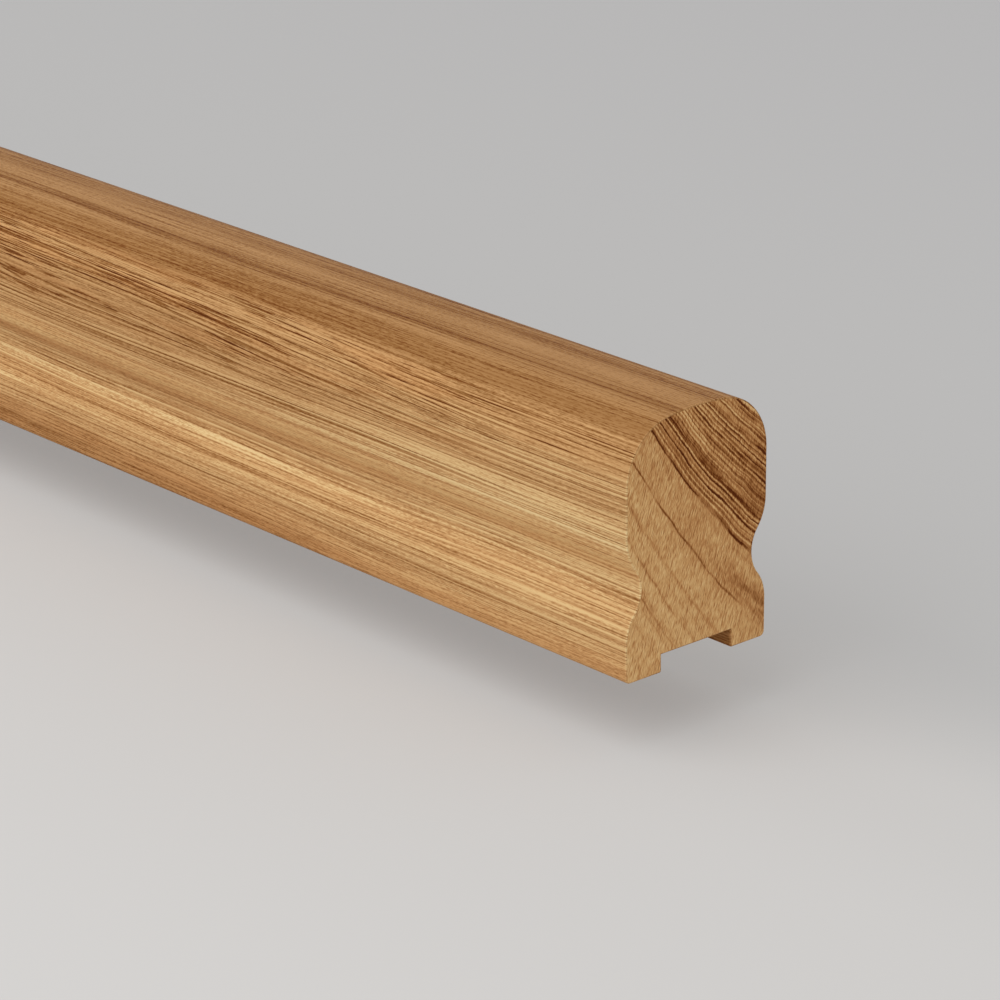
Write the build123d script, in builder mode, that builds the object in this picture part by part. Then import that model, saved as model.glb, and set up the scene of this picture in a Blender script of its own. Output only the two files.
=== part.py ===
"""Moulded wooden top rail for a staircase balustrade, machined from one straight length of hardwood.

Frame, in millimetres: X runs along the rail, Y across it and Z up. The origin is at the middle
of the length, on the centre line, level with the two flat feet under the rail.
"""

import os
from math import atan2, degrees, sqrt

from build123d import *

# Overall size
length = 1200.0
width = 50.0
height = 70.5

# Half section, from the foot up: foot swell, hand grip cove, body swell, flat side, shoulder, crown
waist_width = 40.0
waist_height = 25.0
foot_radius = 12.0
cove_radius = 10.0
body_radius = 14.0
shoulder_radius = 17.0
crown_radius = 80.0

# Groove along the underside, which takes the baluster tops
groove_width = 25.0
groove_depth = 5.0

# Eased edges
foot_edge_radius = 1.5
groove_edge_radius = 0.5
end_arris = 0.35

# Arc centres as (across, up), each tangent to its neighbours
cove_depth = (width - waist_width) / 2
foot_rise = sqrt(2 * cove_depth * (foot_radius + cove_radius) - cove_depth**2)
body_rise = sqrt(2 * cove_depth * (cove_radius + body_radius) - cove_depth**2)
crown_y = height - crown_radius
shoulder_x = width / 2 - shoulder_radius
shoulder_y = crown_y + sqrt((crown_radius - shoulder_radius) ** 2 - shoulder_x**2)
foot_centre = (width / 2 - foot_radius, waist_height - foot_rise)
cove_centre = (waist_width / 2 + cove_radius, waist_height)
body_centre = (width / 2 - body_radius, waist_height + body_rise)
shoulder_centre = (shoulder_x, shoulder_y)
crown_centre = (0.0, crown_y)


def bearing(start, end):
    """Direction in degrees from one centre towards another."""
    return degrees(atan2(end[1] - start[1], end[0] - start[0]))


foot_sweep = bearing(foot_centre, cove_centre)
cove_start = bearing(cove_centre, foot_centre) % 360
cove_end = bearing(cove_centre, body_centre) % 360
body_start = bearing(body_centre, cove_centre)
shoulder_sweep = bearing(crown_centre, shoulder_centre)

os.makedirs("parts", exist_ok=True)

with BuildPart() as top_rail:
    # The moulded outline, one half drawn from the foot to the crown and then mirrored
    with BuildSketch(Plane.YZ) as moulding:
        with BuildLine() as outline:
            Line((0, 0), (width / 2, 0))
            Line((width / 2, 0), (width / 2, foot_centre[1]))
            CenterArc(foot_centre, foot_radius, 0, foot_sweep)
            CenterArc(cove_centre, cove_radius, cove_end, cove_start - cove_end)
            CenterArc(body_centre, body_radius, body_start, -body_start)
            Line((width / 2, body_centre[1]), (width / 2, shoulder_centre[1]))
            CenterArc(shoulder_centre, shoulder_radius, 0, shoulder_sweep)
            CenterArc(crown_centre, crown_radius, shoulder_sweep, 90 - shoulder_sweep)
            mirror(about=Plane.YZ)
        make_face()
    extrude(amount=length / 2, both=True)

    # Groove for the baluster tops, run along the whole underside
    with BuildSketch(Plane.YZ) as groove:
        Rectangle(groove_width, 2 * groove_depth)
    extrude(amount=length / 2, both=True, mode=Mode.SUBTRACT)

    # Long lower edges of the feet eased for handling, outside and at the groove's mouth
    foot_edges = top_rail.edges().filter_by(Axis.X).group_by(Axis.Z)[0].sort_by(Axis.Y)
    fillet([foot_edges[0], foot_edges[-1]], radius=foot_edge_radius)
    mouth_edges = top_rail.edges().filter_by(Axis.X).group_by(Axis.Z)[0].sort_by(Axis.Y)[1:3]
    fillet(mouth_edges, radius=groove_edge_radius)

    # Sharp arris taken off round both sawn ends
    sawn_ends = top_rail.faces().sort_by(Axis.X)
    chamfer(sawn_ends[0].edges() + sawn_ends[-1].edges(), length=end_arris)

top_rail.part.label = "top_rail"
export_step(top_rail.part, "parts/top_rail.step")
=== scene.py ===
"""A moulded wooden stair rail, dressed round its packed construction model. All sizes are in metres."""
import math

import bmesh
import bpy
from mathutils import Matrix, Vector


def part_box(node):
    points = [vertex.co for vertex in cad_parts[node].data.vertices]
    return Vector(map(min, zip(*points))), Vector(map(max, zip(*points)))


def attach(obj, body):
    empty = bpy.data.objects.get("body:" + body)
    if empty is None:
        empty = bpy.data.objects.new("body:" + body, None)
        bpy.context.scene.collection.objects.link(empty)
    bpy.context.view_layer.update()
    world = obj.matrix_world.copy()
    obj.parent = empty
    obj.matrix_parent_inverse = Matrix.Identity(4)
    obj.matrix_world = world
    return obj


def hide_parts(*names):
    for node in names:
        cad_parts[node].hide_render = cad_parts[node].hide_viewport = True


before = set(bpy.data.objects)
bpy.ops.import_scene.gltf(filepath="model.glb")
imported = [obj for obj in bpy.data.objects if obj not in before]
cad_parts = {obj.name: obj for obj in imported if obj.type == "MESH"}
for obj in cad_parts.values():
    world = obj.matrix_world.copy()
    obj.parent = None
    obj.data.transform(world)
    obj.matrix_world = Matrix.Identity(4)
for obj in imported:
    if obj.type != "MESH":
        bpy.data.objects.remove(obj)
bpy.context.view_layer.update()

MM = 0.001

# The rail, with the same driving sizes as its construction
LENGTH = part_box("top_rail")[1].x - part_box("top_rail")[0].x
RAIL_END = LENGTH / 2
WIDTH = 50 * MM
HEIGHT = 70.5 * MM
WAIST_WIDTH = 40 * MM
WAIST_HEIGHT = 25 * MM
FOOT_RADIUS = 12 * MM
COVE_RADIUS = 10 * MM
BODY_RADIUS = 14 * MM
SHOULDER_RADIUS = 17 * MM
CROWN_RADIUS = 80 * MM
GROOVE_WIDTH = 25 * MM
GROOVE_DEPTH = 5 * MM
FOOT_EDGE_RADIUS = 1.5 * MM
GROOVE_EDGE_RADIUS = 0.5 * MM
END_ARRIS = 0.35 * MM
# Straight steps in each arc of the outline and across each eased edge
FOOT_STEPS = 12
COVE_STEPS = 24
BODY_STEPS = 12
SHOULDER_STEPS = 28
CROWN_STEPS = 8
FOOT_EDGE_STEPS = 6
GROOVE_EDGE_STEPS = 3
ARRIS_STEPS = 2
# Points this near are one point, and an edge this near a line lies on it
SAME_POINT = 0.001 * MM
ON_LINE = 0.01 * MM
# How much of a face's normal lies along the rail on a sawn end and, at least, on its eased rim
SQUARE = 0.999
SLOPED = 0.05
# Edges that turn by more than this many degrees are shaded as sharp
SHARP_ANGLE = 30

# The photograph's view: the camera's bearing, height and roll in degrees, and where it puts a known point
VIEW_AZIMUTH = 48.64
VIEW_ELEVATION = 20.49
VIEW_ROLL = -0.51
IMAGE_SIZE = 1000
FOCAL_PIXELS = 4122
SENSOR_WIDTH = 36
AIM_POINT = Vector((RAIL_END, 0, 35 * MM))
AIM_PIXEL = (697.3, 534.3)
AIM_DEPTH = 1060.7 * MM

# The studio: the rail is held a little over a pale floor, which is darker behind it with painted shade
FLOOR_DROP = 20 * MM
FLOOR_SIZE = 30
FLOOR_NEAR = -0.25
FLOOR_FAR = 0.65
KEY_SPOT = Vector((-0.25, -1.42, 1.8))
KEY_SIZE = 3.0
KEY_POWER = 34
ROOM_LIGHT = 0.63


def place_camera():
    """Puts the camera so that the aim point falls on its pixel at its depth."""
    azimuth = math.radians(VIEW_AZIMUTH)
    elevation = math.radians(VIEW_ELEVATION)
    roll = math.radians(VIEW_ROLL)
    back = Vector((
        math.sin(azimuth) * math.cos(elevation),
        -math.cos(azimuth) * math.cos(elevation),
        math.sin(elevation),
    ))
    level = Vector((math.cos(azimuth), math.sin(azimuth), 0))
    upright = back.cross(level)
    right = level * math.cos(roll) + upright * math.sin(roll)
    up = upright * math.cos(roll) - level * math.sin(roll)
    across = (AIM_PIXEL[0] - IMAGE_SIZE / 2) / FOCAL_PIXELS
    above = (IMAGE_SIZE / 2 - AIM_PIXEL[1]) / FOCAL_PIXELS
    lens = bpy.data.cameras.new("photo_camera")
    lens.sensor_width = SENSOR_WIDTH
    lens.lens = SENSOR_WIDTH * FOCAL_PIXELS / IMAGE_SIZE
    lens.clip_start = 0.01
    lens.clip_end = 100
    camera = bpy.data.objects.new("photo_camera", lens)
    turn = Matrix((right, up, back)).transposed().to_4x4()
    spot = AIM_POINT - AIM_DEPTH * (right * across + up * above - back)
    camera.matrix_world = Matrix.Translation(spot) @ turn
    bpy.context.scene.collection.objects.link(camera)
    bpy.context.scene.camera = camera


place_camera()


# Shader helpers

def srgb(red, green, blue):
    """A colour as it shows, in 0 to 255, turned to the light it reflects."""
    shown = (red / 255, green / 255, blue / 255)
    return tuple(c / 12.92 if c <= 0.04045 else ((c + 0.055) / 1.055) ** 2.4 for c in shown)


def add_node(tree, kind, label, **settings):
    """Adds a labelled node and sets its properties."""
    made = tree.nodes.new(kind)
    made.label = label
    for name, value in settings.items():
        setattr(made, name, value)
    return made


def feed(tree, socket, value):
    """Gives a socket a number, a vector or another node's output."""
    if isinstance(value, bpy.types.NodeSocket):
        tree.links.new(value, socket)
    else:
        socket.default_value = value


def combine(tree, operation, first, second, label=""):
    """A maths node over two numbers or outputs."""
    made = add_node(tree, "ShaderNodeMath", label, operation=operation)
    feed(tree, made.inputs[0], first)
    feed(tree, made.inputs[1], second)
    return made.outputs["Value"]


def remap(tree, value, low, high, to_low=0.0, to_high=1.0, label=""):
    """Takes low..high smoothly to to_low..to_high and clamps it."""
    made = add_node(tree, "ShaderNodeMapRange", label, interpolation_type="SMOOTHSTEP")
    feed(tree, made.inputs["Value"], value)
    feed(tree, made.inputs["From Min"], low)
    feed(tree, made.inputs["From Max"], high)
    feed(tree, made.inputs["To Min"], to_low)
    feed(tree, made.inputs["To Max"], to_high)
    return made.outputs["Result"]


def blend(tree, share, first, second, label=""):
    """Goes from the first colour to the second as share goes from 0 to 1."""
    made = add_node(tree, "ShaderNodeMix", label, data_type="RGBA")
    feed(tree, made.inputs[0], share)
    feed(tree, made.inputs[6], first)
    feed(tree, made.inputs[7], second)
    return made.outputs[2]


def place_of(tree, x, y, z, label):
    """Puts three values together as a place."""
    made = add_node(tree, "ShaderNodeCombineXYZ", label)
    feed(tree, made.inputs["X"], x)
    feed(tree, made.inputs["Y"], y)
    feed(tree, made.inputs["Z"], z)
    return made.outputs["Vector"]


def ramp(tree, value, stops, label, interpolation="LINEAR"):
    """A ramp whose stops are (place, grey) or (place, colour)."""
    made = add_node(tree, "ShaderNodeValToRGB", label)
    made.color_ramp.interpolation = interpolation
    elements = made.color_ramp.elements
    while len(elements) < len(stops):
        elements.new(0.5)
    for element, (place, tone) in zip(elements, stops):
        element.position = place
        element.color = (*tone, 1) if isinstance(tone, tuple) else (tone, tone, tone, 1)
    feed(tree, made.inputs["Fac"], value)
    return made.outputs["Color"]


def new_group(name, inputs, outputs):
    """An empty shader node group: inputs are (name, kind, default) and outputs are (name, kind)."""
    group = bpy.data.node_groups.new(name, "ShaderNodeTree")
    for title, kind, default in inputs:
        group.interface.new_socket(title, in_out="INPUT", socket_type=kind).default_value = default
    for title, kind in outputs:
        group.interface.new_socket(title, in_out="OUTPUT", socket_type=kind)
    entry = group.nodes.new("NodeGroupInput")
    way_out = group.nodes.new("NodeGroupOutput")
    return group, entry.outputs, way_out.inputs


def use_group(tree, group, label, **values):
    """Places a shared group in a material with its own values."""
    made = add_node(tree, "ShaderNodeGroup", label, node_tree=group)
    for name, value in values.items():
        feed(tree, made.inputs[name], value)
    return made.outputs


def new_material(name):
    """A material with its surface shader ready to be fed."""
    material = bpy.data.materials.new(name)
    material.use_nodes = True
    return material, material.node_tree, material.node_tree.nodes["Principled BSDF"]


# Oiled wood

NUMBER = "NodeSocketFloat"
PLACE = "NodeSocketVector"
COLOUR = "NodeSocketColor"

# The wood from its darkest line to its straw, which is at 1, and a little past it
PALEST_TONE = 1.2
WOOD_TONES = (
    (0.00, srgb(94, 46, 12)),
    (0.20, srgb(119, 69, 26)),
    (0.40, srgb(147, 101, 54)),
    (0.55, srgb(167, 122, 75)),
    (0.70, srgb(187, 141, 92)),
    (0.85, srgb(205, 162, 110)),
    (1.00, srgb(226, 193, 138)),
    (1.20, srgb(243, 220, 168)),
)
RED_CAST = (0.98, 0.8, 0.66, 1)
# The oil's sheen, how rough the noise of the fibres is, and their fine relief
OIL_SHEEN = 0.05
NOISE_ROUGHNESS = 0.55
RELIEF_STRENGTH = 0.6
RELIEF_DEPTH = 0.12 * MM

# Bands of the long grain, as (distance round the section from the middle of the crown in mm, tone of the
# wood, share of lines, share of pores): first at the near end of the front
BANDS_DEPTH = 120
# Near 102 mm the groove's wall and ceiling are darker, as rawer routed wood and painted shade in the recess
FRONT_NEAR = (
    (0.0, 0.50, 0.20, 0.00), (5.5, 0.49, 0.30, 0.00), (7.3, 0.31, 0.30, 0.00), (9.3, 0.50, 0.30, 0.00),
    (11.8, 0.55, 0.30, 0.05), (14.5, 0.49, 0.30, 0.05), (17.6, 0.41, 0.30, 0.05), (20.4, 0.45, 0.30, 0.15),
    (22.4, 0.73, 0.40, 0.60), (26.0, 0.76, 0.70, 0.80), (31.0, 0.77, 0.80, 0.80), (36.0, 0.84, 0.70, 0.60),
    (41.0, 0.80, 0.60, 0.40), (44.0, 0.88, 0.60, 0.05), (47.0, 0.87, 0.70, 0.05), (49.2, 0.93, 0.80, 0.00),
    (52.0, 0.97, 0.50, 0.00), (56.0, 0.95, 0.20, 0.00), (59.8, 0.87, 0.10, 0.00), (61.5, 0.85, 0.30, 0.05),
    (64.0, 0.89, 0.60, 0.10), (67.5, 0.93, 0.60, 0.10), (71.0, 0.82, 0.60, 0.20), (73.5, 0.82, 0.50, 0.25),
    (76.0, 0.88, 0.60, 0.20), (79.3, 0.84, 0.50, 0.10), (81.5, 0.84, 0.60, 0.20), (85.0, 0.84, 0.40, 0.30),
    (88.0, 0.74, 0.20, 0.30), (98.0, 0.74, 0.30, 0.20), (102.0, 0.42, 0.30, 0.30), (112.0, 0.60, 0.50, 0.40),
)
# Further along the front, where the wood is browner and has two pale straw bands
FRONT_FAR = (
    (0.0, 0.60, 0.20, 0.00), (5.5, 0.50, 0.30, 0.00), (7.6, 0.34, 0.30, 0.00), (9.3, 0.54, 0.30, 0.00),
    (11.5, 0.55, 0.30, 0.05), (13.6, 0.45, 0.30, 0.05), (15.6, 0.48, 0.30, 0.10), (18.2, 0.42, 0.30, 0.10),
    (21.6, 0.47, 0.30, 0.30), (24.0, 0.68, 0.80, 0.80), (28.0, 0.72, 1.00, 0.90), (38.0, 0.66, 0.80, 0.70),
    (42.5, 0.70, 0.80, 0.50), (46.0, 0.76, 0.80, 0.10), (49.0, 0.74, 0.80, 0.10), (52.0, 0.81, 0.60, 0.05),
    (55.0, 0.88, 0.30, 0.05), (58.0, 0.91, 0.20, 0.00), (60.5, 0.80, 0.20, 0.00), (62.8, 0.74, 0.50, 0.10),
    (65.5, 0.86, 0.60, 0.15), (67.4, 0.86, 0.60, 0.15), (68.8, 0.95, 0.30, 0.00), (70.6, 0.94, 0.30, 0.00),
    (72.2, 0.80, 0.50, 0.20), (75.0, 0.74, 0.40, 0.30), (76.8, 0.98, 0.30, 0.05), (78.6, 0.78, 0.50, 0.20),
    (83.0, 0.80, 0.40, 0.30), (88.0, 0.62, 0.30, 0.40), (100.0, 0.60, 0.30, 0.20), (112.0, 0.60, 0.40, 0.40),
)
# The back, where the dark wood near the heart comes out; near 102 mm the groove's wall and ceiling are
# darker, as rawer routed wood and painted shade in the recess
BACK = (
    (0.0, 0.55, 0.10, 0.00), (6.0, 0.44, 0.40, 0.05), (10.0, 0.52, 0.60, 0.10), (15.0, 0.40, 0.80, 0.20),
    (20.0, 0.52, 0.90, 0.30), (26.0, 0.44, 0.90, 0.40), (33.0, 0.56, 0.90, 0.50), (38.0, 0.46, 0.80, 0.50),
    (44.0, 0.54, 0.90, 0.60), (49.0, 0.40, 0.70, 0.40), (55.0, 0.52, 0.80, 0.40), (60.0, 0.44, 0.60, 0.30),
    (62.6, 0.34, 0.30, 0.20), (64.5, 0.74, 0.30, 0.10), (70.0, 0.80, 0.40, 0.20), (77.0, 0.76, 0.50, 0.30),
    (80.0, 0.66, 0.50, 0.30), (84.0, 0.80, 0.40, 0.20), (98.0, 0.74, 0.30, 0.20), (102.0, 0.44, 0.30, 0.30),
    (112.0, 0.60, 0.40, 0.40),
)
# Redder, and so darker, at the cove's upper flank under the body's swell and round the foot and its
# underside: partly the wood's redder tone, partly painted shade
WARM_BANDS_AND_PAINTED_SHADE = ((0, 0.0), (51, 0.0), (54.5, 0.55), (61, 0.5), (64, 0.05), (80, 0.1), (86, 0.4), (120, 0.3))
# Dark lines that run on along the front in three strips, each from one distance round the section to
# another in mm, and its lines as (distance, half thickness, depth of tone)
CROWN_LINES = (2, 21, (
    (3.2, 0.5, 0.06), (5.2, 0.5, 0.14), (7.4, 0.6, 0.12), (10.3, 0.4, 0.10), (11.8, 0.35, 0.12),
    (12.8, 0.4, 0.11), (15.4, 0.5, 0.12), (17.9, 0.5, 0.10), (19.4, 0.4, 0.07),
))
SHOULDER_LINES = (22, 40, (
    (24.8, 0.3, 0.52), (25.6, 0.35, 0.70), (27.2, 0.3, 0.40), (28.4, 0.35, 0.42), (29.9, 0.35, 0.64),
    (31.7, 0.25, 0.24), (33.2, 0.25, 0.20), (36.1, 0.3, 0.30), (38.0, 0.35, 0.40),
))
LOWER_LINES = (48, 84, (
    (49.3, 0.4, 0.28), (50.8, 0.35, 0.2), (65.4, 0.4, 0.26), (67.1, 0.45, 0.42), (68.5, 0.4, 0.32),
    (70.8, 0.4, 0.26), (74.4, 0.35, 0.2), (76.6, 0.4, 0.28), (78.1, 0.4, 0.24), (81.0, 0.35, 0.2),
))
# Share of a line's depth that is left where it is faintest, and of the pores by the near end
FAINTEST_LINE = 0.3
FEWEST_PORES = 0.3
# Where the grain changes: back from the near end, across from front to back, and round the section
SHOULDER_RUN = (60 * MM, 110 * MM)
PORE_RUN = (20 * MM, 90 * MM)
NEAR_LENGTH = (30 * MM, 200 * MM)
SIDE_BLEND = 4 * MM
DRIFT_GIRTH = (10 * MM, 30 * MM)
SLOPE_GIRTH = (44 * MM, 32 * MM)
# The bands climb and wander, and past SLOPE_START from the near end the fine lines slant by the shoulder
BAND_DRIFT = 0.011
BAND_WARP = 4 * MM
SLOPE_START = 60 * MM
LINE_SLOPE = 0.028
# How strongly each kind of streak shows, and the most that all of them lighten the wood
LIVELY_STREAKS = (("fine streaks", 0.9), ("hair lines", 0.8))
STEADY_STREAKS = (("broad streaks", 0.28), ("fibre ends", 0.6))
LEAST_LIVELY = 0.55
STREAK_SHARE = 1.2
PALE_STREAK = 0.07
# Close threads, then how deep lines and pores are in tone, how dull, and how much fine relief they have
THREAD_SPACING = 1.2 * MM
THREAD_WAVER = 5
THREAD_EDGE = (0.1, 0.9)
THREAD_DEPTH = 0.14
LINE_DEPTH = 0.42
PORE_DEPTH = 0.66
GRAIN_ROUGHNESS = (0.5, 0.75)
FIBRE_RELIEF = 0.4
# Redness where the heartwood shows, how much the whole tone is lifted on the faces, and the painted
# highlight that lifts it further on the rims
HEART_REDNESS = 0.45
BODY_LIFT = 0.05
RIM_PAINTED_HIGHLIGHT = 0.14

# Growth rings on the sawn ends: the heart of the tree lies past the top right corner of the near one
PITH = (0, 217 * MM, 231 * MM)
MAIN_RING_RADIUS = 285 * MM
YEAR_RING = 1.1 * MM
# Middle and direction of the rings' run over the end, and how much they widen in a metre of it
RING_MIDDLE = (0, 1.5 * MM, 44.5 * MM)
RING_RUN = (0, 0.651, -0.759)
RING_SPREAD = 5.5
# Dark latewood lines in three strips of rings, each strip from one distance past the main ring to another
# in mm, and its lines as (distance, half thickness, depth of tone)
LATE_STRIPS = (
    (-28, -10, (
        (-26.3, 0.6, 0.64), (-25.1, 0.5, 0.56), (-23.7, 0.4, 0.36), (-22.6, 0.45, 0.48),
        (-20.4, 0.6, 0.76), (-19.1, 0.4, 0.40), (-17.8, 0.45, 0.44), (-16.5, 0.4, 0.42),
        (-15.5, 0.5, 0.56), (-14.4, 0.45, 0.46),
    )),
    (-14, 4, (
        (-13.1, 0.35, 0.24), (-11.9, 0.45, 0.36), (-9.8, 0.3, 0.26), (-8.5, 0.4, 0.46), (-7.3, 0.6, 0.80),
        (-5.7, 0.4, 0.56), (-3.6, 0.5, 0.72), (-1.5, 0.4, 0.16), (0.3, 0.55, 0.84), (2.4, 0.5, 0.05),
    )),
    (4, 42, (
        (6.8, 0.8, 0.05), (11.0, 0.5, 0.48), (19.1, 0.7, 0.12), (21.5, 0.4, 0.06), (24.6, 0.5, 0.16),
        (28.6, 0.5, 0.08), (29.8, 0.6, 0.22), (31.2, 0.4, 0.06), (35.2, 0.6, 0.08), (40.2, 0.5, 0.06),
    )),
)
# Past the main ring, a dark blotch comes up towards the back foot and the lines die out there
BLOTCH_RING = (3.8 * MM, 7.6 * MM, 12.5 * MM)
BLOTCH_RUN = (14 * MM, 34 * MM)
BLOTCH_DEPTH = 0.24
FADE_RUN = (38 * MM, 27 * MM)
# Tone of the wood between those lines, as (distance past the main ring in mm, tone)
RING_TONES = (
    (-28, 0.88), (-21, 0.85), (-17, 0.81), (-14, 0.78), (-11, 0.84), (-9.5, 0.82), (-7.5, 0.76),
    (-3, 0.78), (-0.6, 0.82), (0.8, 0.86), (2, 0.88), (4, 0.92), (6.5, 0.90), (9.5, 0.89), (12, 0.91),
    (14, 0.96), (17.5, 0.97), (19.3, 0.92), (20.5, 1.00), (21.6, 0.96), (23, 0.99), (24.4, 0.93),
    (25.6, 1.05), (27.4, 1.04), (28.8, 0.95), (31, 0.95), (32.8, 1.01), (35, 0.95), (36.6, 1.00),
    (40.4, 0.96), (42, 1.03),
)
# Ring distances between which the wood turns dense, and between which it grows paler towards the crown
DENSE_RING = (1 * MM, -1 * MM)
INNER_RING = (-9 * MM, -12 * MM)
CROWN_PALER = -8
# How far the rings sway and how ragged they are, and how strongly the dense wood's own rings show
RING_SWAY = 1.8 * MM
RING_RAGGED = 0.45 * MM
CLOSE_DEPTH = 0.3
GOLD_SHARE = 0.65
YEAR_WAVER = 6
YEAR_SHARE = 0.25
# Flecks and saw marks lean by FLECK_LEAN degrees, and show as strongly as this with the soft clouds
FLECK_LEAN = 18
DARK_FLECK_DEPTH = 0.25
PALE_FLECK_SHARE = 0.15
SAWN_SHARE = 0.85
CLOUD_SHARE = 0.2
# Redness of the ends, and more in their dense wood, then how dull they are from a dark tone to a pale one
END_REDNESS = 0.9
DENSE_REDNESS = 0.1
SAWN_TONES = (0.2, 0.9)
SAWN_ROUGHNESS = (0.74, 0.64)
SAWN_RELIEF = 0.5

# Soft streaks: size in the three directions of their place in metres, then detail
STREAKS = {
    "slow wander": ((0.19, 0.022, 0.06), 1),
    "broad streaks": ((0.16, 0.0024, 0.03), 2),
    "fine streaks": ((0.16, 0.00052, 0.03), 2),
    "hair lines": ((0.03, 0.00036, 0.03), 2),
    "fibre ends": ((0.0018, 0.00034, 0.03), 1),
    "sway of the rings": ((1, 0.012, 0.012), 1),
    "ragged edge": ((1, 0.0009, 0.0009), 2),
    "golden earlywood": ((0.03, 0.0009, 1), 2),
    "sawn grain": ((0.7, 0.0003, 0.002), 2),
    "soft clouds": ((1, 0.009, 0.009), 2),
}
# Crisp marks: the same, then where in the noise a mark starts and where it is full
CRISP_MARKS = {
    "long dark lines": ((0.2, 0.00048, 0.03), 1, 0.56, 0.61),
    "pores": ((0.018, 0.00036, 0.03), 1, 0.55, 0.6),
    "where pores gather": ((0.05, 0.0018, 0.03), 1, 0.34, 0.54),
    "lines come and go": ((0.03, 0.0012, 0.03), 1, 0.35, 0.6),
    "red heartwood": ((0.045, 0.004, 0.03), 2, 0.42, 0.66),
    "close rings": ((0.05, 0.0005, 1), 2, 0.47, 0.66),
    "uneven rings": ((0.012, 0.0016, 1), 2, 0.38, 0.6),
    "dark flecks": ((1, 0.00028, 0.0026), 1, 0.54, 0.64),
    "pale flecks": ((0.5, 0.0003, 0.0024), 1, 0.54, 0.64),
}


def strip_of_lines(tree, value, low, high, lines, label):
    """Dark lines across a value in metres: each is (place in mm, half thickness in mm, depth of tone)."""
    place = combine(tree, "DIVIDE", combine(tree, "SUBTRACT", value, low * MM), (high - low) * MM)
    stops = []
    for at, half, depth in lines:
        stops += [(at - half, 0.0), (at, depth), (at + half, 0.0)]
    return ramp(tree, place, [((at - low) / (high - low), depth) for at, depth in stops], label, "EASE")


def wood_tones():
    """Turns a tone from 0 to PALEST_TONE into the colour of the wood, redder where asked."""
    group, given, result = new_group(
        "wood_tones", (("Tone", NUMBER, 0.7), ("Redness", NUMBER, 0)), (("Color", COLOUR),),
    )
    share = combine(group, "DIVIDE", given["Tone"], PALEST_TONE, "share of the palest")
    stops = [(at / PALEST_TONE, colour) for at, colour in WOOD_TONES]
    plain = ramp(group, share, stops, "tones of the wood")
    red = add_node(group, "ShaderNodeMix", "red cast", data_type="RGBA", blend_type="MULTIPLY")
    red.inputs[0].default_value = 1
    feed(group, red.inputs[6], plain)
    red.inputs[7].default_value = RED_CAST
    feed(group, result["Color"], blend(group, given["Redness"], plain, red.outputs[2], "redder in places"))
    return group


def fibre_marks():
    """Fibres of a given size: Streak is a soft rise and fall about 0, and Mask is the crisp marks in it."""
    group, given, result = new_group(
        "fibre_marks",
        (("Place", PLACE, (0, 0, 0)), ("Size", PLACE, (1, 1, 1)), ("Detail", NUMBER, 2),
         ("Start", NUMBER, 0.6), ("Full", NUMBER, 0.7)),
        (("Streak", NUMBER), ("Mask", NUMBER)),
    )
    drawn = add_node(group, "ShaderNodeVectorMath", "drawn out", operation="DIVIDE")
    feed(group, drawn.inputs[0], given["Place"])
    feed(group, drawn.inputs[1], given["Size"])
    noise = add_node(group, "ShaderNodeTexNoise", "fibres")
    noise.inputs["Scale"].default_value = 1
    noise.inputs["Roughness"].default_value = NOISE_ROUGHNESS
    feed(group, noise.inputs["Detail"], given["Detail"])
    feed(group, noise.inputs["Vector"], drawn.outputs["Vector"])
    feed(group, result["Streak"], combine(group, "SUBTRACT", noise.outputs["Fac"], 0.5))
    feed(group, result["Mask"], remap(group, noise.outputs["Fac"], given["Start"], given["Full"]))
    return group


def streak(tree, marks, label, place):
    """Soft streaks of one kind over a place."""
    size, detail = STREAKS[label]
    return use_group(tree, marks, label, Place=place, Size=size, Detail=detail)["Streak"]


def crisp_marks(tree, marks, label, place):
    """Crisp marks of one kind over a place."""
    size, detail, start, full = CRISP_MARKS[label]
    made = use_group(tree, marks, label, Place=place, Size=size, Detail=detail, Start=start, Full=full)
    return made["Mask"]


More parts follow.
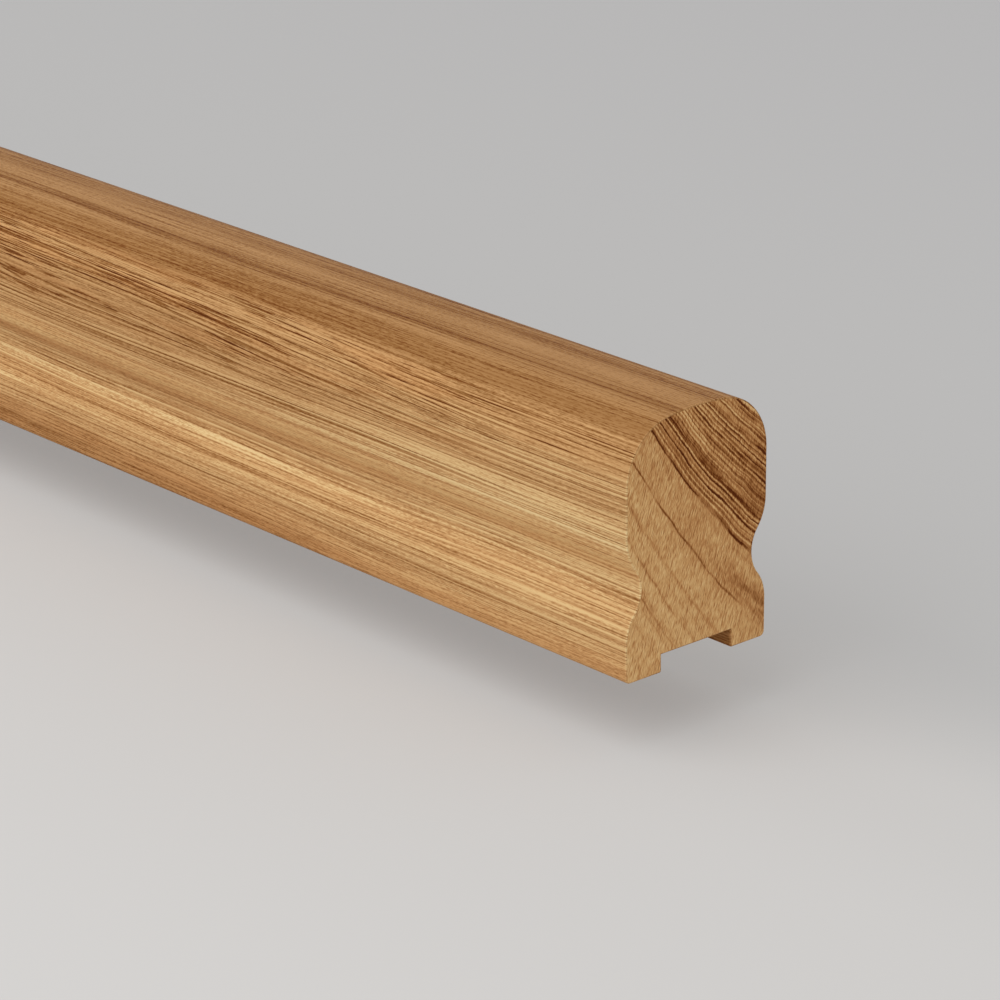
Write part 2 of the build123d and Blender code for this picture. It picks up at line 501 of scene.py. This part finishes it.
def growth_rings():
    """Growth rings about the pith: Tone between the lines, depth of each Line, Ring distance and Run."""
    group, given, result = new_group(
        "growth_rings", (("Place", PLACE, (0, 0, 0)), ("Waver", NUMBER, 0)),
        (("Tone", NUMBER), ("Line", NUMBER), ("Ring", NUMBER), ("Run", NUMBER)),
    )
    flat = add_node(group, "ShaderNodeVectorMath", "across the tree", operation="MULTIPLY")
    feed(group, flat.inputs[0], given["Place"])
    flat.inputs[1].default_value = (0, 1, 1)
    reach = add_node(group, "ShaderNodeVectorMath", "distance from the pith", operation="DISTANCE")
    feed(group, reach.inputs[0], flat.outputs["Vector"])
    reach.inputs[1].default_value = PITH
    beyond = combine(group, "SUBTRACT", reach.outputs["Value"], MAIN_RING_RADIUS, "past the main ring")
    middle = add_node(group, "ShaderNodeVectorMath", "from the middle", operation="SUBTRACT")
    feed(group, middle.inputs[0], flat.outputs["Vector"])
    middle.inputs[1].default_value = RING_MIDDLE
    along = add_node(group, "ShaderNodeVectorMath", "along the ring", operation="DOT_PRODUCT")
    feed(group, along.inputs[0], middle.outputs["Vector"])
    along.inputs[1].default_value = RING_RUN
    spread = combine(group, "MULTIPLY", along.outputs["Value"], RING_SPREAD, "rings widen along their run")
    spread = combine(group, "ADD", spread, 1)
    ring = combine(group, "DIVIDE", beyond, spread)
    ring = combine(group, "ADD", ring, given["Waver"], "ring distance")
    line = 0
    for low, high, lines in LATE_STRIPS:
        strip = strip_of_lines(group, ring, low, high, lines, "latewood lines")
        if low > 0:
            fade = remap(group, along.outputs["Value"], *FADE_RUN, label="die out by the foot")
            strip = combine(group, "MULTIPLY", strip, fade)
        line = combine(group, "MAXIMUM", line, strip)
    first, full, last = BLOTCH_RING
    blotch = combine(group, "MULTIPLY", remap(group, ring, first, full), remap(group, ring, last, full))
    foot_side = remap(group, along.outputs["Value"], *BLOTCH_RUN, 0, BLOTCH_DEPTH, "by the back foot")
    line = combine(group, "MAXIMUM", line, combine(group, "MULTIPLY", blotch, foot_side, "dark blotch"))
    low, high = RING_TONES[0][0], RING_TONES[-1][0]
    place = combine(group, "DIVIDE", combine(group, "SUBTRACT", ring, low * MM), (high - low) * MM)
    tones = [((at - low) / (high - low), tone) for at, tone in RING_TONES]
    feed(group, result["Tone"], ramp(group, place, tones, "tone between lines"))
    feed(group, result["Line"], line)
    feed(group, result["Ring"], ring)
    feed(group, result["Run"], along.outputs["Value"])
    return group


def oiled_finish(tree, shader, colour, roughness, relief):
    """Feeds the shader of one surface of the rail."""
    feed(tree, shader.inputs["Base Color"], colour)
    feed(tree, shader.inputs["Roughness"], roughness)
    shader.inputs["Specular IOR Level"].default_value = OIL_SHEEN
    bump = add_node(tree, "ShaderNodeBump", "fine relief")
    bump.inputs["Strength"].default_value = RELIEF_STRENGTH
    bump.inputs["Distance"].default_value = RELIEF_DEPTH
    feed(tree, bump.inputs["Height"], relief)
    feed(tree, shader.inputs["Normal"], bump.outputs["Normal"])


def grain_level(tree, marks, girth, from_end, along, across):
    """How far round the section the bands of the wood lie, climbing and wandering along the rail."""
    drift = combine(tree, "MULTIPLY", from_end, BAND_DRIFT, "bands climb away from the near end")
    drift = combine(tree, "MULTIPLY", drift, remap(tree, girth, *DRIFT_GIRTH, label="not on the crown"))
    level = combine(tree, "ADD", girth, drift, "level in the wood")
    place = place_of(tree, along, level, across, "place along the grain")
    wander = combine(tree, "MULTIPLY", streak(tree, marks, "slow wander", place), BAND_WARP)
    return combine(tree, "ADD", level, wander, "with its wander")


def band_shares(tree, level, from_end, back_share):
    """Tone of the wood, its shares of lines and pores and its redness, which is partly painted shade, from
    the bands that lie here.
    """
    depth = combine(tree, "DIVIDE", level, BANDS_DEPTH * MM)
    sets = []
    for side, bands in (("front near", FRONT_NEAR), ("front far", FRONT_FAR), ("back", BACK)):
        stops = [(at / BANDS_DEPTH, (tone, lines, pores)) for at, tone, lines, pores in bands]
        sets.append(ramp(tree, depth, stops, side))
    further = remap(tree, from_end, *NEAR_LENGTH, label="away from the near end")
    front = blend(tree, further, sets[0], sets[1], "front bands")
    bands = add_node(tree, "ShaderNodeSeparateColor", "tone, lines and pores")
    feed(tree, bands.inputs["Color"], blend(tree, back_share, front, sets[2], "bands of this side"))
    warmth_and_shade = ramp(tree, depth, [(at / BANDS_DEPTH, share) for at, share in WARM_BANDS_AND_PAINTED_SHADE], "redder bands and painted shade")
    return bands.outputs["Red"], bands.outputs["Green"], bands.outputs["Blue"], warmth_and_shade


def slanted_level(tree, level, girth, from_end):
    """The level that the fine lines follow, which slants under the shoulder."""
    slope = combine(tree, "MAXIMUM", combine(tree, "SUBTRACT", from_end, SLOPE_START), 0)
    slope = combine(tree, "MULTIPLY", slope, LINE_SLOPE, "lines run out at the surface")
    slope = combine(tree, "MULTIPLY", slope, remap(tree, girth, *SLOPE_GIRTH, label="by the shoulder"))
    return combine(tree, "ADD", level, slope)


def long_lines(tree, marks, level, from_end, place):
    """Dark lines that run on along the front, coming and going: by the shoulder only near the end."""
    near = remap(tree, from_end, *SHOULDER_RUN, to_low=1.0, to_high=0.0, label="near the end only")
    lines = strip_of_lines(tree, level, *SHOULDER_LINES, "lines under the shoulder")
    lines = combine(tree, "MULTIPLY", lines, near)
    lines = combine(tree, "ADD", lines, strip_of_lines(tree, level, *LOWER_LINES, "lower lines"))
    lines = combine(tree, "ADD", lines, strip_of_lines(tree, level, *CROWN_LINES, "crown lines"))
    uneven = crisp_marks(tree, marks, "lines come and go", place)
    return combine(tree, "MULTIPLY", lines, combine(tree, "ADD", FAINTEST_LINE, uneven))


def sum_of_streaks(tree, marks, kinds, place):
    """Adds up soft streaks of several kinds, given as (kind, share)."""
    total = 0
    for label, share in kinds:
        one = combine(tree, "MULTIPLY", streak(tree, marks, label, place), share)
        total = combine(tree, "ADD", total, one)
    return total


def fibre_streaks(tree, marks, lines, place):
    """Streaks of the fibres, livelier where the wood is lined, and mostly darker than what they lie in."""
    liveliness = combine(tree, "MULTIPLY", lines, LEAST_LIVELY)
    liveliness = combine(tree, "ADD", LEAST_LIVELY, liveliness, "livelier where lined")
    streaks = sum_of_streaks(tree, marks, LIVELY_STREAKS, place)
    streaks = combine(tree, "MULTIPLY", streaks, liveliness)
    streaks = combine(tree, "ADD", streaks, sum_of_streaks(tree, marks, STEADY_STREAKS, place))
    streaks = combine(tree, "MULTIPLY", streaks, STREAK_SHARE)
    return combine(tree, "MINIMUM", streaks, PALE_STREAK, "mostly dark")


def threads(tree, lines, line_level, fine):
    """Close dark threads at even spacing, which waver with the fine streaks."""
    wave = combine(tree, "MULTIPLY", line_level, math.tau / THREAD_SPACING, "threads at even spacing")
    wave = combine(tree, "ADD", wave, combine(tree, "MULTIPLY", fine, THREAD_WAVER))
    thread = remap(tree, combine(tree, "SINE", wave, 0), *THREAD_EDGE, label="threads")
    return combine(tree, "MULTIPLY", combine(tree, "MULTIPLY", thread, lines), THREAD_DEPTH)


def long_grain(name, tones, marks, lift_and_highlight):
    """The moulded faces: bands, streaks, long dark lines and open pores, lifted by this much in tone: on the
    eased rims, a painted highlight.
    """
    material, tree, shader = new_material(name)
    split = add_node(tree, "ShaderNodeSeparateXYZ", "along, across and up")
    feed(tree, split.inputs["Vector"], add_node(tree, "ShaderNodeTexCoord", "place").outputs["Object"])
    along, across = split.outputs["X"], split.outputs["Y"]
    girth = add_node(tree, "ShaderNodeAttribute", "round the section", attribute_name="round_section")
    girth = girth.outputs["Fac"]
    from_end = combine(tree, "SUBTRACT", RAIL_END, along, "back from the near end")
    back_share = remap(tree, across, -SIDE_BLEND, SIDE_BLEND, label="front to back")

    level = grain_level(tree, marks, girth, from_end, along, across)
    place = place_of(tree, along, level, across, "place along the fibres")
    tone, lines, pores, warmth_and_shade = band_shares(tree, level, from_end, back_share)
    line_level = slanted_level(tree, level, girth, from_end)
    line_place = place_of(tree, along, line_level, across, "place along the lines")

    line_share = combine(
        tree, "MULTIPLY", crisp_marks(tree, marks, "long dark lines", line_place), lines, "lines here",
    )
    fewer = remap(tree, from_end, *PORE_RUN, FEWEST_PORES, 1, "fewer near the end")
    pores = combine(tree, "MULTIPLY", pores, fewer)
    pore_share = combine(
        tree, "MULTIPLY", crisp_marks(tree, marks, "pores", line_place),
        crisp_marks(tree, marks, "where pores gather", line_place),
    )
    pore_share = combine(tree, "MULTIPLY", pore_share, pores, "pores here")
    front_share = combine(tree, "SUBTRACT", 1, back_share, "front only")
    front_lines = combine(tree, "MULTIPLY", long_lines(tree, marks, level, from_end, place), front_share)

    fine = streak(tree, marks, "fine streaks", place)
    tone = combine(tree, "ADD", tone, fibre_streaks(tree, marks, lines, place), "with streaks")
    tone = combine(tree, "SUBTRACT", tone, threads(tree, lines, line_level, fine), "with threads")
    marked = combine(tree, "MULTIPLY", line_share, LINE_DEPTH, "darker at lines")
    open_pores = combine(tree, "MULTIPLY", pore_share, PORE_DEPTH)
    marked = combine(tree, "MAXIMUM", marked, open_pores, "and at pores")
    marked = combine(tree, "MAXIMUM", marked, front_lines, "and at the long lines")
    tone = combine(tree, "SUBTRACT", tone, marked, "with its dark marks")
    tone = combine(tree, "ADD", tone, lift_and_highlight, "finished tone")

    heart = crisp_marks(tree, marks, "red heartwood", place)
    redness = combine(tree, "MULTIPLY", heart, combine(tree, "MULTIPLY", pores, HEART_REDNESS))
    # The redder bands add redness, partly painted shade under the body's swell and the foot
    redness = combine(tree, "ADD", redness, warmth_and_shade)
    colour = use_group(tree, tones, "colour of the wood", Tone=tone, Redness=redness)["Color"]
    cuts = combine(tree, "ADD", line_share, pore_share)
    roughness = remap(tree, cuts, 0, 1, *GRAIN_ROUGHNESS, "pores are dull")
    relief = combine(tree, "SUBTRACT", combine(tree, "MULTIPLY", fine, FIBRE_RELIEF), cuts, "cut pores")
    oiled_finish(tree, shader, colour, roughness, relief)
    return material


def dense_wood(tree, marks, ring, ring_place):
    """Change of tone in the wood near the heart: close rings, golden earlywood and the years."""
    close = combine(tree, "MULTIPLY", crisp_marks(tree, marks, "close rings", ring_place), CLOSE_DEPTH)
    gold = streak(tree, marks, "golden earlywood", ring_place)
    year = combine(tree, "MULTIPLY", ring, math.tau / YEAR_RING, "years")
    year = combine(tree, "ADD", year, combine(tree, "MULTIPLY", gold, YEAR_WAVER), "uneven years")
    year = combine(tree, "MULTIPLY", combine(tree, "SINE", year, 0), YEAR_SHARE)
    change = combine(tree, "SUBTRACT", combine(tree, "MULTIPLY", gold, GOLD_SHARE), close)
    return combine(tree, "ADD", change, year, "rings of the dense wood")


def leaning_flecks(tree, marks, place):
    """Change of tone from ray flecks and saw marks, and the saw marks alone."""
    turned = add_node(tree, "ShaderNodeMapping", "leaning flecks")
    turned.inputs["Rotation"].default_value = (math.radians(FLECK_LEAN), 0, 0)
    feed(tree, turned.inputs["Vector"], place)
    leaning = turned.outputs["Vector"]
    dark = combine(tree, "MULTIPLY", crisp_marks(tree, marks, "dark flecks", leaning), DARK_FLECK_DEPTH)
    pale = combine(tree, "MULTIPLY", crisp_marks(tree, marks, "pale flecks", leaning), PALE_FLECK_SHARE)
    sawn = streak(tree, marks, "sawn grain", leaning)
    change = combine(tree, "ADD", combine(tree, "SUBTRACT", pale, dark),
                     combine(tree, "MULTIPLY", sawn, SAWN_SHARE))
    return change, sawn


def end_grain(tones, marks, rings):
    """The sawn ends: growth rings, close rings near the heart, ray flecks and saw marks."""
    material, tree, shader = new_material("end_grain")
    place = add_node(tree, "ShaderNodeTexCoord", "place").outputs["Object"]
    sway = combine(tree, "MULTIPLY", streak(tree, marks, "sway of the rings", place), RING_SWAY)
    ragged = combine(tree, "MULTIPLY", streak(tree, marks, "ragged edge", place), RING_RAGGED)
    waver = combine(tree, "ADD", sway, ragged, "waver of the rings")
    ring = use_group(tree, rings, "growth rings", Place=place, Waver=waver)
    ring_place = place_of(tree, ring["Run"], ring["Ring"], 0.0, "place round and across the rings")
    dense = remap(tree, ring["Ring"], *DENSE_RING, label="near the heart")

    uneven = combine(tree, "ADD", FAINTEST_LINE, crisp_marks(tree, marks, "uneven rings", ring_place))
    line = combine(tree, "MULTIPLY", ring["Line"], uneven, "uneven lines")
    tone = combine(tree, "SUBTRACT", ring["Tone"], line, "with latewood")
    heartwood = combine(tree, "MULTIPLY", dense_wood(tree, marks, ring["Ring"], ring_place), dense)
    tone = combine(tree, "ADD", tone, heartwood, "with the dense wood's rings")
    flecks, sawn = leaning_flecks(tree, marks, place)
    tone = combine(tree, "ADD", tone, flecks, "with flecks and saw marks")
    inner = remap(tree, ring["Ring"], *INNER_RING, label="nearest the heart")
    crownward = combine(tree, "MULTIPLY", combine(tree, "MULTIPLY", ring["Run"], CROWN_PALER), inner)
    tone = combine(tree, "ADD", tone, crownward, "paler towards the crown")
    cloud = combine(tree, "MULTIPLY", streak(tree, marks, "soft clouds", place), CLOUD_SHARE)
    tone = combine(tree, "ADD", tone, cloud, "finished tone")

    redness = combine(tree, "MULTIPLY", dense, DENSE_REDNESS)
    redness = combine(tree, "ADD", END_REDNESS, redness, "end grain is redder")
    colour = use_group(tree, tones, "colour of the wood", Tone=tone, Redness=redness)["Color"]
    roughness = remap(tree, tone, *SAWN_TONES, *SAWN_ROUGHNESS, "dull sawn wood")
    relief = combine(tree, "ADD", sawn, combine(tree, "MULTIPLY", tone, SAWN_RELIEF), "sawn texture")
    oiled_finish(tree, shader, colour, roughness, relief)
    return material


TONES = wood_tones()
MARKS = fibre_marks()
RINGS = growth_rings()


# The rail

def spin_on(mesh, vert, centre, angle, steps):
    """Runs an arc on from a point, about a centre given across and up, and returns its far point."""
    made = bmesh.ops.spin(
        mesh, geom=[vert], cent=(RAIL_END, *centre), axis=(1, 0, 0), dvec=(0, 0, 0),
        angle=angle, steps=steps, use_merge=False, use_duplicate=False,
    )
    return [item for item in made["geom_last"] if isinstance(item, bmesh.types.BMVert)][0]


def line_on(mesh, vert, across, up):
    """Runs a straight line on from a point and returns its far point."""
    made = bmesh.ops.extrude_vert_indiv(mesh, verts=[vert])
    made["verts"][0].co = (RAIL_END, across, up)
    return made["verts"][0]


def half_outline(mesh):
    """One half of the section, from the middle of the groove round the foot and up to the crown."""
    cove_depth = (WIDTH - WAIST_WIDTH) / 2
    foot_rise = math.sqrt(2 * cove_depth * (FOOT_RADIUS + COVE_RADIUS) - cove_depth ** 2)
    body_rise = math.sqrt(2 * cove_depth * (COVE_RADIUS + BODY_RADIUS) - cove_depth ** 2)
    crown_up = HEIGHT - CROWN_RADIUS
    shoulder_across = WIDTH / 2 - SHOULDER_RADIUS
    shoulder_up = crown_up + math.sqrt((CROWN_RADIUS - SHOULDER_RADIUS) ** 2 - shoulder_across ** 2)
    foot = (WIDTH / 2 - FOOT_RADIUS, WAIST_HEIGHT - foot_rise)
    cove = (WAIST_WIDTH / 2 + COVE_RADIUS, WAIST_HEIGHT)
    body = (WIDTH / 2 - BODY_RADIUS, WAIST_HEIGHT + body_rise)
    foot_turn = math.atan2(foot_rise, cove[0] - foot[0])
    body_turn = math.atan2(body_rise, cove[0] - body[0])
    shoulder_turn = math.atan2(shoulder_up - crown_up, shoulder_across)

    point = mesh.verts.new((RAIL_END, 0, GROOVE_DEPTH))
    point = line_on(mesh, point, GROOVE_WIDTH / 2, GROOVE_DEPTH)
    point = line_on(mesh, point, GROOVE_WIDTH / 2, 0)
    point = line_on(mesh, point, WIDTH / 2, 0)
    point = line_on(mesh, point, WIDTH / 2, foot[1])
    point = spin_on(mesh, point, foot, foot_turn, FOOT_STEPS)
    point = spin_on(mesh, point, cove, -foot_turn - body_turn, COVE_STEPS)
    point = spin_on(mesh, point, body, body_turn, BODY_STEPS)
    point = line_on(mesh, point, WIDTH / 2, shoulder_up)
    point = spin_on(mesh, point, (shoulder_across, shoulder_up), shoulder_turn, SHOULDER_STEPS)
    spin_on(mesh, point, (0, crown_up), math.pi / 2 - shoulder_turn, CROWN_STEPS)


def ease_edges(mesh, edges, size, steps):
    """Rounds edges off, in this many straight steps."""
    bmesh.ops.bevel(
        mesh, geom=edges, affect="EDGES", offset=size, offset_type="OFFSET",
        segments=steps, profile=0.5, material=-1, clamp_overlap=True,
    )


def foot_edges(mesh, across):
    """The long lower edges that lie this far from the centre line."""
    return [
        edge for edge in mesh.edges
        if all(abs(vert.co.z) < ON_LINE and abs(abs(vert.co.y) - across) < ON_LINE for vert in edge.verts)
    ]


def mark_round_section(mesh, path):
    """Stores at each point how far round the section it lies from the middle of the crown."""
    girth = mesh.verts.layers.float.new("round_section")
    for vert in mesh.verts:
        spot = Vector((abs(vert.co.y), vert.co.z))
        walked = 0
        nearest = LENGTH
        for start, end in zip(path, path[1:]):
            step = end - start
            share = min(max((spot - start).dot(step) / step.length_squared, 0), 1)
            gap = (spot - start - step * share).length
            if gap < nearest:
                nearest = gap
                vert[girth] = walked + share * step.length
            walked += step.length


def finish_faces(mesh):
    """Gives the long grain, the sawn ends and their eased rims their materials, and their shading."""
    for face in mesh.faces:
        lengthwise = abs(face.normal.x)
        face.material_index = 1 if lengthwise > SQUARE else 2 if lengthwise > SLOPED else 0
        face.smooth = face.material_index != 1
    for edge in mesh.edges:
        kinds = {face.material_index for face in edge.link_faces}
        edge.smooth = len(kinds) == 1 and edge.calc_face_angle(0) < math.radians(SHARP_ANGLE)


def rail_mesh():
    """The whole rail: the outline mirrored, filled, run back along the length and eased at its edges."""
    mesh = bmesh.new()
    half_outline(mesh)
    path = [Vector((vert.co.y, vert.co.z)) for vert in reversed(mesh.verts[:])]
    bmesh.ops.mirror(
        mesh, geom=mesh.verts[:] + mesh.edges[:], matrix=Matrix.Identity(4),
        merge_dist=SAME_POINT, axis="Y",
    )
    bmesh.ops.remove_doubles(mesh, verts=mesh.verts, dist=SAME_POINT)
    sawn = bmesh.ops.contextual_create(mesh, geom=mesh.edges[:])["faces"]
    run = bmesh.ops.extrude_face_region(mesh, geom=sawn, use_keep_orig=True)
    far = [item for item in run["geom"] if isinstance(item, bmesh.types.BMVert)]
    bmesh.ops.translate(mesh, vec=(-LENGTH, 0, 0), verts=far)
    bmesh.ops.recalc_face_normals(mesh, faces=mesh.faces)
    ease_edges(mesh, foot_edges(mesh, WIDTH / 2), FOOT_EDGE_RADIUS, FOOT_EDGE_STEPS)
    ease_edges(mesh, foot_edges(mesh, GROOVE_WIDTH / 2), GROOVE_EDGE_RADIUS, GROOVE_EDGE_STEPS)
    ends = [face for face in mesh.faces if abs(face.normal.x) > SQUARE]
    rims = [edge for face in ends for edge in face.edges]
    ease_edges(mesh, rims, END_ARRIS, ARRIS_STEPS)
    bmesh.ops.recalc_face_normals(mesh, faces=mesh.faces)
    mark_round_section(mesh, path)
    finish_faces(mesh)
    return mesh


def build_rail(materials):
    """Makes the rail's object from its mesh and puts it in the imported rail's place."""
    mesh = rail_mesh()
    data = bpy.data.meshes.new("moulded_rail")
    mesh.to_mesh(data)
    mesh.free()
    for material in materials:
        data.materials.append(material)
    rail = bpy.data.objects.new("moulded_rail", data)
    bpy.context.scene.collection.objects.link(rail)
    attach(rail, "root")
    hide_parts("top_rail")


build_rail([
    long_grain("long_grain", TONES, MARKS, BODY_LIFT),
    end_grain(TONES, MARKS, RINGS),
    # The eased rims take the long grain lifted paler, as a painted highlight
    long_grain("eased_rim_painted_highlight", TONES, MARKS, RIM_PAINTED_HIGHLIGHT),
])


# The studio

# The floor's paper: its finish, how much of its own light the eye sees, and its tones from front to back,
# darker behind the rail as painted shade
PAPER_ROUGHNESS = 0.9
PAPER_SHEEN = 0.1
PAPER_GLOW = 0.4
PAPER_TONES_WITH_PAINTED_SHADE = (
    (0.00, srgb(212, 210, 208)),
    (0.22, srgb(208, 206, 204)),
    (0.29, srgb(205, 203, 201)),
    (0.38, srgb(191, 190, 189)),
    (1.00, srgb(190, 189, 189)),
)


def lay_floor():
    """A broad pale floor, darker behind the rail with painted shade, that shows only from above."""
    mesh = bmesh.new()
    bmesh.ops.create_grid(mesh, x_segments=1, y_segments=1, size=FLOOR_SIZE / 2)
    bmesh.ops.translate(mesh, vec=(0, 0, -FLOOR_DROP), verts=mesh.verts)
    data = bpy.data.meshes.new("studio_floor")
    mesh.to_mesh(data)
    mesh.free()
    material, tree, shader = new_material("studio_paper")
    shader.inputs["Roughness"].default_value = PAPER_ROUGHNESS
    shader.inputs["Specular IOR Level"].default_value = PAPER_SHEEN
    place = add_node(tree, "ShaderNodeTexCoord", "place")
    across = add_node(tree, "ShaderNodeSeparateXYZ", "across")
    feed(tree, across.inputs["Vector"], place.outputs["Object"])
    depth = combine(tree, "SUBTRACT", across.outputs["Y"], FLOOR_NEAR)
    depth = combine(tree, "DIVIDE", depth, FLOOR_FAR - FLOOR_NEAR, "front to back")
    paper = ramp(tree, depth, PAPER_TONES_WITH_PAINTED_SHADE, "paper tones with painted shade", "EASE")
    feed(tree, shader.inputs["Base Color"], paper)
    glow = add_node(tree, "ShaderNodeEmission", "paper's own light")
    feed(tree, glow.inputs["Color"], paper)
    ray = add_node(tree, "ShaderNodeLightPath", "which ray")
    share = combine(tree, "MULTIPLY", ray.outputs["Is Camera Ray"], PAPER_GLOW, "soft shadow to the eye")
    lit = add_node(tree, "ShaderNodeMixShader", "paper")
    feed(tree, lit.inputs[0], share)
    feed(tree, lit.inputs[1], shader.outputs["BSDF"])
    feed(tree, lit.inputs[2], glow.outputs["Emission"])
    side = add_node(tree, "ShaderNodeNewGeometry", "which side")
    clear = add_node(tree, "ShaderNodeBsdfTransparent", "clear from below")
    choice = add_node(tree, "ShaderNodeMixShader", "pale above, clear below")
    feed(tree, choice.inputs[0], side.outputs["Backfacing"])
    feed(tree, choice.inputs[1], lit.outputs["Shader"])
    feed(tree, choice.inputs[2], clear.outputs["BSDF"])
    feed(tree, tree.nodes["Material Output"].inputs["Surface"], choice.outputs["Shader"])
    data.materials.append(material)
    floor = bpy.data.objects.new("studio_floor", data)
    bpy.context.scene.collection.objects.link(floor)


def light_studio():
    """Even light from all round and one broad soft lamp above the front of the rail."""
    world = bpy.data.worlds.new("soft_room")
    world.use_nodes = True
    sky = world.node_tree.nodes["Background"]
    sky.inputs["Color"].default_value = (1, 1, 1, 1)
    sky.inputs["Strength"].default_value = ROOM_LIGHT
    bpy.context.scene.world = world
    lamp = bpy.data.lights.new("key_lamp", "AREA")
    lamp.shape = "DISK"
    lamp.size = KEY_SIZE
    lamp.energy = KEY_POWER
    key = bpy.data.objects.new("key_lamp", lamp)
    spot = Vector((RAIL_END, 0, 0)) + KEY_SPOT
    key.matrix_world = Matrix.Translation(spot) @ KEY_SPOT.to_track_quat("Z", "Y").to_matrix().to_4x4()
    bpy.context.scene.collection.objects.link(key)


lay_floor()
light_studio()
bpy.context.scene.view_settings.view_transform = "Standard"
